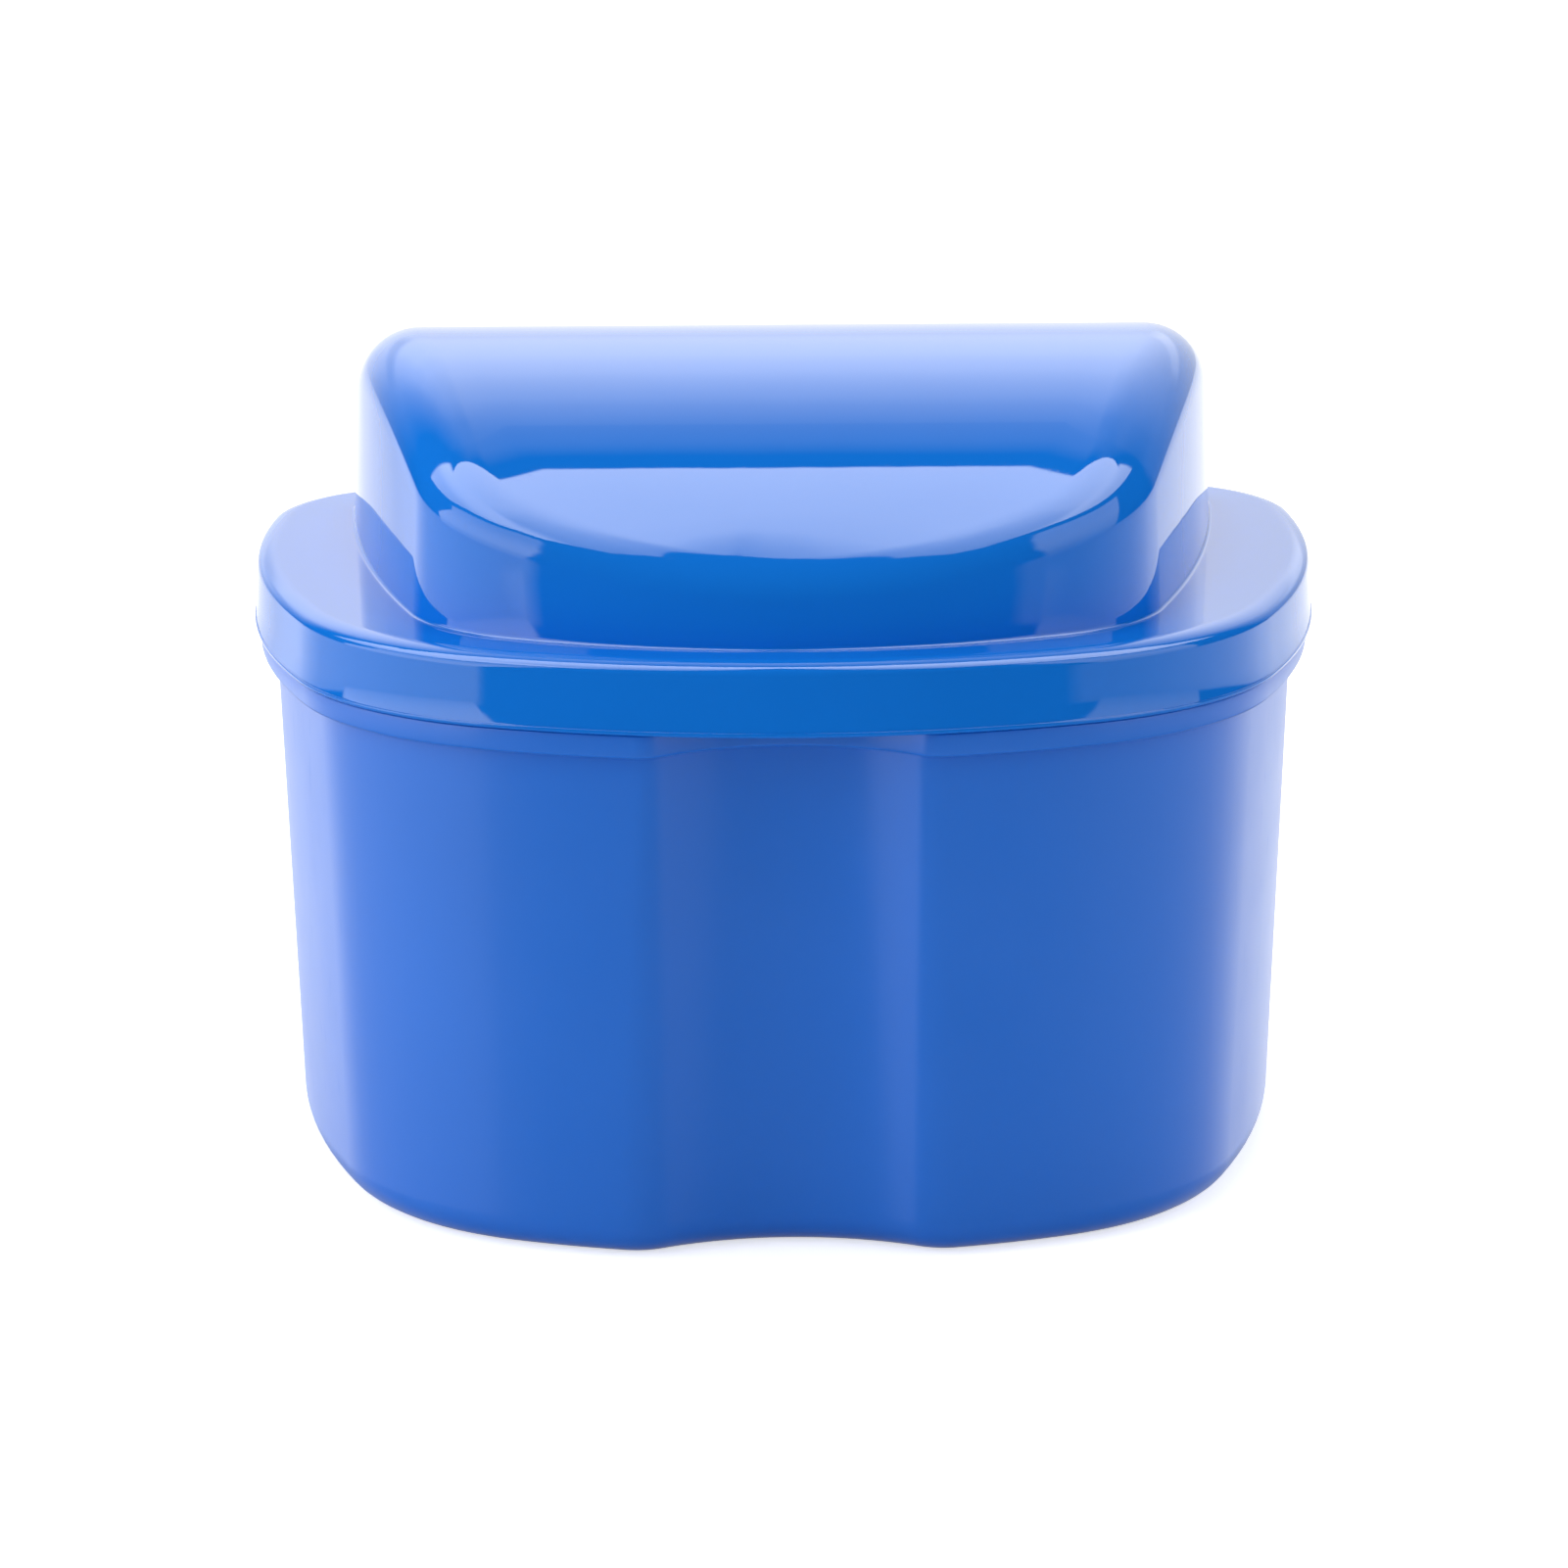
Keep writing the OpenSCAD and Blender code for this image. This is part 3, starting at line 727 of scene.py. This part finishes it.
middle_line = [Vector((x, PIVOT_Y - y, PIVOT_Z)) for x, y in (
    (ARM_X, 0.0), (ARM_X, ARM_STRAIGHT), (GRIP_SPAN / 2, REACH),
    (-GRIP_SPAN / 2, REACH), (-ARM_X, ARM_STRAIGHT), (-ARM_X, 0.0))]
sections = [cross_section(place, along) for place, along in rounded_path(middle_line, CORNER_R, CORNER_STEPS)]
strap = grow_shell("Handle", sections)

# %% [markdown]
# ## The handle's hubs
#
# A hub is a short cylinder whose outer face is inset and pushed out to make the pin that snaps
# into the basket's boss. The same function makes it as the boss with its bore, so the pin and
# the bore can't drift apart. It is modelled on the right and copied mirrored to the left. Such
# hubs are moulded in one piece with the strap, so everything is joined.

# %% The handle's hubs and pins
hub = pushed_cylinder("Hub", HUB_R, ARM_X - ARM_T / 2, ARM_X + ARM_T / 2, 1, PIN_R)
handle = join([strap, hub, own_copy(hub, mirror)], "Handle")
bpy.ops.object.shade_smooth_by_angle(angle=SHARP)
print("handle faces:", len(handle.data.polygons))

# %% [markdown]
# ## Plastics
#
# All four pieces are injection-moulded polypropylene, coloured right through. What differs is
# the finish of the mould, which the plastic copies: its gloss, its waves and its grain. The
# tools below build such a plastic from a colour, a range of gloss and a list of reliefs, each
# with its size in millimetres.

# %% Material tools
def srgb(code):
    """An sRGB hex colour as the linear values that a shader takes."""
    parts = [int(code[i:i + 2], 16) / 255 for i in (1, 3, 5)]
    return tuple(p / 12.92 if p <= 0.04045 else ((p + 0.055) / 1.055) ** 2.4 for p in parts) + (1.0,)


def add_node(tree, kind, settings=None):
    """Adds a node. A setting is the value of a field or an input, or the socket or node that is linked to it."""
    node = tree.nodes.new(kind)
    for key, value in (settings or {}).items():
        if isinstance(value, bpy.types.Node):
            value = value.outputs[0]
        if isinstance(value, bpy.types.NodeSocket):
            tree.links.new(value, node.inputs[key])
        elif isinstance(key, int) or key in node.inputs.keys():
            node.inputs[key].default_value = value
        else:
            setattr(node, key, value)
    return node


def pattern(tree, size, stretch=(1, 1, 1)):
    """Noise with lumps of that many millimetres, drawn out along the stretched axes."""
    place = add_node(tree, "ShaderNodeTexCoord").outputs["Object"]
    drawn_out = add_node(tree, "ShaderNodeMapping", {"Vector": place, "Scale": [1 / s for s in stretch]})
    return add_node(tree, "ShaderNodeTexNoise", {"Vector": drawn_out, "Scale": 1 / (size * MM), "Detail": 2.0})


def uneven(tree, lumps, low, high, start=0.3, end=0.7):
    """A value that follows a pattern: low where the pattern is below start, high where it is above end."""
    return add_node(tree, "ShaderNodeMapRange", {"Value": lumps, "From Min": start, "From Max": end,
                                                 "To Min": low, "To Max": high})


def moulded(name, colour, gloss, reliefs, scuffs):
    """Moulded polypropylene. gloss is the roughness from the shiniest patches to the dullest, reliefs are
    (size in mm, stretch, height in thousandths of a mm), and scuffs is what a wiping mark adds to the roughness."""
    material = bpy.data.materials.new(name)
    material.use_nodes = True
    tree = material.node_tree
    shader = tree.nodes["Principled BSDF"]
    shader.inputs["IOR"].default_value = 1.49
    # The pigment isn't mixed in quite evenly: clouds some 30 mm wide, a few parts in a hundred apart.
    clouds = uneven(tree, pattern(tree, 30.0), 0.97, 1.03)
    tint = add_node(tree, "ShaderNodeHueSaturation", {"Color": srgb(colour), "Value": clouds})
    tree.links.new(tint.outputs["Color"], shader.inputs["Base Color"])
    # Hands and cloths leave the gloss uneven in patches of 8 mm, with marks 0.3 mm wide and 4 mm long across them.
    # Real wiping marks are a tenth as wide. At that size they don't show, so they are drawn wider.
    patches = uneven(tree, pattern(tree, 8.0), gloss[0], gloss[1])
    marks = uneven(tree, pattern(tree, 0.3, (1, 2, 13)), 0.0, scuffs, 0.64, 0.72)
    roughness = add_node(tree, "ShaderNodeMath", {"operation": "ADD", 0: patches, 1: marks})
    tree.links.new(roughness.outputs[0], shader.inputs["Roughness"])
    normal = shader.inputs["Normal"]
    for size, stretch, height in reliefs:
        bump = add_node(tree, "ShaderNodeBump", {"Height": pattern(tree, size, stretch), "Strength": 1.0,
                                                 "Distance": height * MM / 1000})
        tree.links.new(bump.outputs["Normal"], normal)
        normal = bump.inputs["Normal"]
    return material


def paint(piece, material):
    """Gives a piece its only material."""
    piece.data.materials.clear()
    piece.data.materials.append(material)


# %% [markdown]
# ## The lid's finish
#
# The lid's mould is polished, so the lid mirrors what stands round it. Thick and thin places
# shrink differently as the plastic cools, which leaves waves a few thousandths of a millimetre
# high. They can't be felt, but the crisp edges of the reflections waver along them.

# %% Polished blue
lid_blue = moulded("Injection-moulded polypropylene, polished blue", "#106AC8", (0.018, 0.035),
                   [(14.0, (1, 1, 1), 26.0), (4.0, (1, 1, 1), 1.6)], 0.05)
print(lid_blue.name)

# %% [markdown]
# ## The tub's finish
#
# The tub's mould is only stoned smooth. Its fine grain spreads each reflection into a soft
# sheen, and the stoning lines run down the walls in the direction in which the tub is drawn out
# of the mould. The real grain is a tenth of a millimetre. It is drawn at a third of a
# millimetre, the finest that shows from the camera.

# %% Satin blue
DRAWN_OUT = (1, 1, 40)
tub_blue = moulded("Injection-moulded polypropylene, satin blue", "#1966C8", (0.278, 0.30),
                   [(0.33, (1, 1, 1), 0.9), (1.4, DRAWN_OUT, 2.5), (16.0, (1, 1, 1), 20.0)], 0.03)
print(tub_blue.name)

# %% [markdown]
# ## The white pieces' finish
#
# The basket and its handle are the same plastic in white, from a mould with a plain matt grain.
# Thin white polypropylene lets some light through, which softens the shadows between the slots.

# %% Matt white
white = moulded("Injection-moulded polypropylene, matt white", "#E6E8EA", (0.36, 0.46),
                [(0.4, (1, 1, 1), 2.0), (12.0, (1, 1, 1), 12.0)], 0.05)
shader = white.node_tree.nodes["Principled BSDF"]
shader.inputs["Subsurface Weight"].default_value = 0.25
shader.inputs["Subsurface Radius"].default_value = (1.0, 1.0, 1.0)
shader.inputs["Subsurface Scale"].default_value = 1.5 * MM
print(white.name)

# %% [markdown]
# ## Which piece has which finish
#
# Each piece comes out of one mould in one plastic, so each has one material.

# %% Painting
paint(lid, lid_blue)
paint(tub, tub_blue)
paint(basket, white)
paint(handle, white)
print({piece.name: piece.data.materials[0].name for piece in (lid, tub, basket, handle)})

# %% [markdown]
# ## What stands for what
#
# Each new piece takes the place of its CAD node and moves with that node's body, so the joints
# move the smooth pieces as they moved the CAD ones.

# %% Riding
for piece, name in ((tub, "tub"), (lid, "lid"), (basket, "basket"), (handle, "handle")):
    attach(piece, name)
    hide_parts(name)
    print(piece.name, "rides on", name)

# %% [markdown]
# ## The floor
#
# The case stands on a wide, flat sheet of white paper. The paper is lit like everything else and
# keeps the case's soft shadow. Only for the camera it also glows a little, which brings it to the
# clean white of a product photograph without more light on the case.

# %% The paper
PAPER_GLOW = 0.62
bpy.ops.object.select_all(action="DESELECT")
bpy.ops.mesh.primitive_plane_add(size=4.0, location=(0, 0, 0))
floor = new_object("Floor")
floor.visible_glossy = False
paper = bpy.data.materials.new("Matt white paper")
paper.use_nodes = True
tree = paper.node_tree
shader = tree.nodes["Principled BSDF"]
shader.inputs["Base Color"].default_value = srgb("#F4F4F4")
shader.inputs["Roughness"].default_value = 0.9
shader.inputs["Emission Color"].default_value = (1, 1, 1, 1)
seen = add_node(tree, "ShaderNodeLightPath").outputs["Is Camera Ray"]
glow = add_node(tree, "ShaderNodeMath", {"operation": "MULTIPLY", 0: seen, 1: PAPER_GLOW})
tree.links.new(glow.outputs[0], shader.inputs["Emission Strength"])
floor.data.materials.append(paper)
print("floor:", floor.dimensions[:])

# %% [markdown]
# ## The studio around the case
#
# Polished plastic is a mirror with a colour under it: what makes it look glossy is what stands
# round it. The studio is drawn into the world as a function of direction, by azimuth from the
# camera's side and elevation above the horizon. It has a light tent overhead that comes down on
# both sides and is open towards the camera, a white card on each side below it, a lit backdrop
# and the pale table round the case. Glossy rays see this studio. Diffuse rays see a plain soft
# light, so colours stay as they are written, and the camera sees white.

# %% Small tools for a pattern of directions
world = bpy.data.worlds.new("White studio")
bpy.context.scene.world = world
world.use_nodes = True
tree = world.node_tree
background = tree.nodes["Background"]
background.inputs["Color"].default_value = (1, 1, 1, 1)


def combine(operation, *values):
    """Numbers and sockets combined from left to right."""
    result = values[0]
    for value in values[1:]:
        result = add_node(tree, "ShaderNodeMath", {"operation": operation, 0: result, 1: value})
    return result


def times(*factors):
    """The product of numbers and sockets."""
    return combine("MULTIPLY", *factors)


def above(value, edge, soft):
    """1 where the value is above the edge and 0 below it, with a soft step of that width."""
    return add_node(tree, "ShaderNodeMapRange", {"interpolation_type": "SMOOTHSTEP", "From Min": -soft / 2,
                                                 "From Max": soft / 2, "Value": combine("SUBTRACT", value, edge)})


def profile(value, points):
    """A line through points (value, brightness), drawn with a colour ramp."""
    low, high = points[0][0], points[-1][0]
    peak = max(level for _, level in points) or 1.0
    share = combine("DIVIDE", combine("SUBTRACT", value, low), high - low)
    ramp = add_node(tree, "ShaderNodeValToRGB", {"Fac": share})
    stops = ramp.color_ramp.elements
    while len(stops) < len(points):
        stops.new(0.5)
    for stop, (place, level) in zip(stops, points):
        stop.position = (place - low) / (high - low)
    for stop, (place, level) in zip(stops, points):
        stop.color = (level / peak, level / peak, level / peak, 1)
    return times(ramp, peak)


def pick(flag, yes, no):
    """yes where the flag is 1, no where it is 0."""
    return combine("ADD", times(flag, yes), times(combine("SUBTRACT", 1.0, flag), no))


# %% [markdown]
# ## Directions of the studio
#
# A direction is described as the eye would point at it: by its azimuth, counted from the
# camera's side round to the back, by its elevation above the horizon, and by whether it lies to
# the left. The studio isn't quite the same on both sides.

# %% Directions
direction = add_node(tree, "ShaderNodeTexCoord").outputs["Generated"]
axes = add_node(tree, "ShaderNodeSeparateXYZ", {0: direction}).outputs
off_middle = add_node(tree, "ShaderNodeMath", {"operation": "ABSOLUTE", 0: axes["X"]})
climb = add_node(tree, "ShaderNodeMath", {"operation": "ARCSINE", 0: axes["Z"]})
turn = combine("ARCTAN2", off_middle, times(axes["Y"], -1.0))
elevation, azimuth = [add_node(tree, "ShaderNodeMath", {"operation": "DEGREES", 0: angle}) for angle in (climb, turn)]
on_left = combine("LESS_THAN", axes["X"], 0.0)
print("directions:", len(tree.nodes), "nodes")

# %% [markdown]
# ## The light tent
#
# A tent of white cloth hangs over the case. It gives the arch of the dome its broad highlight.
# Its rear edge is straight, its front edge swings up in the middle and its hems come down on
# both sides. On flat cloth these would be straight lines, so the edges are drawn in the flat
# plane above the case: so far sideways and so far backwards for one unit of height. Near the
# front edge the cloth is lit less, and the highlight fades there.

# %% The light tent
TENT = 6.6
height = combine("MAXIMUM", axes["Z"], 0.001)
sideways = combine("DIVIDE", off_middle, height)
backwards = combine("DIVIDE", axes["Y"], height)
left_hem = profile(azimuth, [(30, 40), (44, 36), (62, 32.5), (78, 28.5), (92, 23), (108, 20), (120, 18)])
right_hem = profile(azimuth, [(30, 47), (42, 44), (56, 42), (72, 38), (92, 34.5), (120, 30)])
hem = pick(on_left, left_hem, right_hem)
down_left = profile(elevation, [(18, 0.55), (30, 0.62), (34, 0.77), (38, 0.92), (44, 1.0)])
down_right = profile(elevation, [(26, 0.55), (34, 0.64), (42, 0.77), (50, 1.0)])
rear_edge = above(profile(sideways, [(0, 0.33), (0.6, 0.33), (1.1, 0.26)]), backwards, 0.01)
side_edge = times(above(pick(on_left, 117.0, 112.0), azimuth, 3.0), above(48.0, elevation, 4.0))
front_edge = profile(sideways, [(0, 0.01), (0.03, 0.1), (0.1, 0.37), (0.2, 0.56), (0.3, 0.72), (0.5, 0.88), (1, 1.2)])
opening = above(front_edge, times(backwards, -1.0), 0.02)
from_edge = combine("DIVIDE", combine("ADD", front_edge, backwards), combine("ADD", front_edge, 0.09))
soft_edge = combine("MAXIMUM", profile(from_edge, [(0, 0.36), (0.35, 0.6), (0.65, 0.92), (1, 1.0)]),
                    profile(sideways, [(0.3, 0.0), (0.7, 1.0)]))
tent = times(combine("MAXIMUM", rear_edge, side_edge), opening, above(elevation, hem, 1.0),
             pick(on_left, down_left, down_right), soft_edge, TENT)
print("with the tent:", len(tree.nodes), "nodes")

# %% [markdown]
# ## The white cards
#
# Below the hems stands a white card on each side of the case. The cards put the soft light
# strips on the dome's front corners and into the edges of the thumb recess. Each is a patch of
# azimuth and elevation, brighter where the lamps reach it better, with a dark gap between it
# and the hem.

# %% The white cards
left_card = profile(elevation, [(-8, 1.5), (-5, 2.2), (-1, 3.0), (3, 3.2), (8, 3.2), (16, 2.8), (20, 2.5), (26, 2.1)])
right_card = profile(elevation, [(-8, 0.6), (-5, 0.9), (0, 1.4), (6, 1.7), (12, 2.0), (30, 2.0)])
near_left = profile(elevation, [(-6, 46), (0, 43), (12, 39), (30, 36)])
near_right = profile(elevation, [(-5, 46), (12, 40), (30, 37)])
card_far = pick(on_left, profile(elevation, [(0, 105), (14, 90)]), 88.0)
card_top = combine("SUBTRACT", hem, pick(on_left, 4.5, 6.5))
cards = times(pick(on_left, left_card, right_card), above(azimuth, pick(on_left, near_left, near_right), 1.5),
              above(card_far, azimuth, 2.0), above(elevation, -7.0, 3.0), above(card_top, elevation, 1.0))
print("with the cards:", len(tree.nodes), "nodes")

# %% [markdown]
# ## The backdrop
#
# Behind the case a lit wall runs up, brightest at the height of a head and dark above. The
# upper half of the dome's arch mirrors it, which gives the lid its pale upper edge and the slow
# run down to deep blue. To both sides the wall fades out.

# %% The backdrop
up_the_wall = profile(elevation, [(-5, 1.15), (12, 1.48), (16, 1.85), (27, 2.45), (36, 2.6), (47, 2.1), (52, 1.6),
                                  (57, 1.0), (64, 0.65), (66, 0.35), (68, 0)])
from_behind = combine("SUBTRACT", 180.0, azimuth)
lower = times(combine("MAXIMUM", combine("SUBTRACT", 12.0, elevation), 0.0), 0.6)
spread_out = combine("ADD", from_behind, lower)
fade_left = profile(spread_out, [(20, 1.0), (30, 0.8), (38, 0.45), (48, 0.1), (52, 0)])
fade_right = profile(spread_out, [(10, 1.0), (20, 0.85), (35, 0.58), (45, 0.4), (53, 0.2), (60, 0)])
wings = times(profile(from_behind, [(9, 0.0), (14, 1.0), (30, 1.0), (36, 0.0)]), above(14.0, elevation, 4.0),
              above(elevation, 8.0, 3.0), pick(on_left, -0.2, 0.35))
backdrop = times(up_the_wall, pick(on_left, fade_left, fade_right), above(elevation, -6.0, 2.0),
                 combine("ADD", wings, 1.0))
print("with the backdrop:", len(tree.nodes), "nodes")

# %% [markdown]
# ## The table round the case
#
# The pale table reflects in the upright walls: the camera looks down at them, so they mirror
# what lies a little below the horizon. The table is bright at some distance and darker near the
# case, where the case shades it.

# %% The table round the case
to_left = profile(azimuth, [(43, 0.0), (46, 1.55), (90, 1.5), (108, 1.3), (122, 1.15), (143, 1.68), (152, 1.15),
                            (165, 1.2), (180, 1.45)])
to_right = profile(azimuth, [(40, 0.0), (43, 0.55), (60, 0.65), (80, 0.9), (105, 1.22), (128, 1.68), (145, 1.4),
                             (180, 1.3)])
down_the_table = profile(elevation, [(-90, 0.1), (-70, 0.13), (-50, 0.2), (-35, 0.28), (-24, 0.35), (-20, 0.75),
                                     (-16, 1.0), (-8, 1.0), (-5, 0.9), (-4, 0)])
behind_it = times(above(azimuth, 130.0, 20.0),
                  profile(elevation, [(-24, 0.1), (-16, 0.25), (-14, 0.18), (-12, 0.0)]))
near_case = times(profile(elevation, [(-90, 0.5), (-30, 0.35), (-20, 0.0)]),
                  profile(elevation, [(-90, 0.3), (-30, 0.6)]))
farther = times(pick(on_left, to_left, to_right), combine("ADD", down_the_table, behind_it))
table_top = combine("MAXIMUM", farther, near_case)
print("with the table:", len(tree.nodes), "nodes")

# %% [markdown]
# ## What each kind of ray sees
#
# Mirror reflections get the studio with its edges. The diffuse light is a plain soft fill,
# strongest from the left and then from the right, as broad cards give it, and faint from the front
# and from behind, so the colours stay as they are written. The camera itself sees a white background.

# %% What each kind of ray sees
studio = combine("MAXIMUM", tent, cards, backdrop, table_top)
LEFT_FILL, RIGHT_FILL, FRONT_FILL, BACK_FILL = 3.4, 1.9, 0.2, 0.1
to_side = times(axes["X"], axes["X"], pick(on_left, LEFT_FILL, RIGHT_FILL))
fill = combine("ADD", to_side, profile(axes["Y"], [(-1, FRONT_FILL), (1, BACK_FILL)]))
path = add_node(tree, "ShaderNodeLightPath").outputs
level_seen = pick(path["Is Camera Ray"], 1.0, pick(path["Is Glossy Ray"], studio, fill))
tree.links.new(level_seen.outputs[0], background.inputs["Strength"])
print("studio nodes:", len(tree.nodes))

# %% [markdown]
# ## The lamp
#
# One large softbox hangs over the case and gives the soft light from above. Its own mirror image
# is already drawn in the studio as the roof of the tent, so it is hidden from glossy rays.

# %% Lamp
LAMP_PLACE, LAMP_SIZE = Vector((0, 50, 660)), (260, 246)
RADIANCE = 7.9  # the brightness of the lamp's mirror image, where white is 1
bpy.ops.object.light_add(type="AREA", location=LAMP_PLACE * MM)
lamp = bpy.context.object
lamp.name = "Overhead softbox"
lamp.data.shape = "RECTANGLE"
lamp.data.size, lamp.data.size_y = [side * MM for side in LAMP_SIZE]
lamp.data.energy = RADIANCE * math.pi * lamp.data.size * lamp.data.size_y
lamp.rotation_euler = Vector((0, 0, -1)).to_track_quat("-Z", "Y").to_euler()
lamp.visible_glossy = False
print(lamp.name, "W:", round(lamp.data.energy, 2))

# %% [markdown]
# ## The camera
#
# The camera stands in front of the case and looks down on it a little. Its place and its three
# axes were fitted to the outlines of the case, in millimetres.

# %% Camera
CAMERA_PLACE = Vector((-4.337, -455.452, 151.058)) * MM
RIGHT = Vector((0.999934, -0.010460, -0.004745))
UP = Vector((0.007225, 0.251755, 0.967764))
FORWARD = Vector((0.008929, 0.967735, -0.251814))
SENSOR, FOCAL_PIXELS, PICTURE_PIXELS = 36.0, 5436.46, 1601
bpy.ops.object.camera_add(location=CAMERA_PLACE)
camera = bpy.context.object
camera.name = "Camera"
turned = Matrix((RIGHT, UP, -FORWARD)).transposed()
camera.rotation_euler = turned.to_euler()
camera.data.sensor_width = SENSOR
camera.data.lens = FOCAL_PIXELS / PICTURE_PIXELS * SENSOR
camera.data.clip_start = 0.01
bpy.context.scene.camera = camera
bpy.context.scene.view_settings.view_transform = "Standard"
print("lens in mm:", round(camera.data.lens, 2))
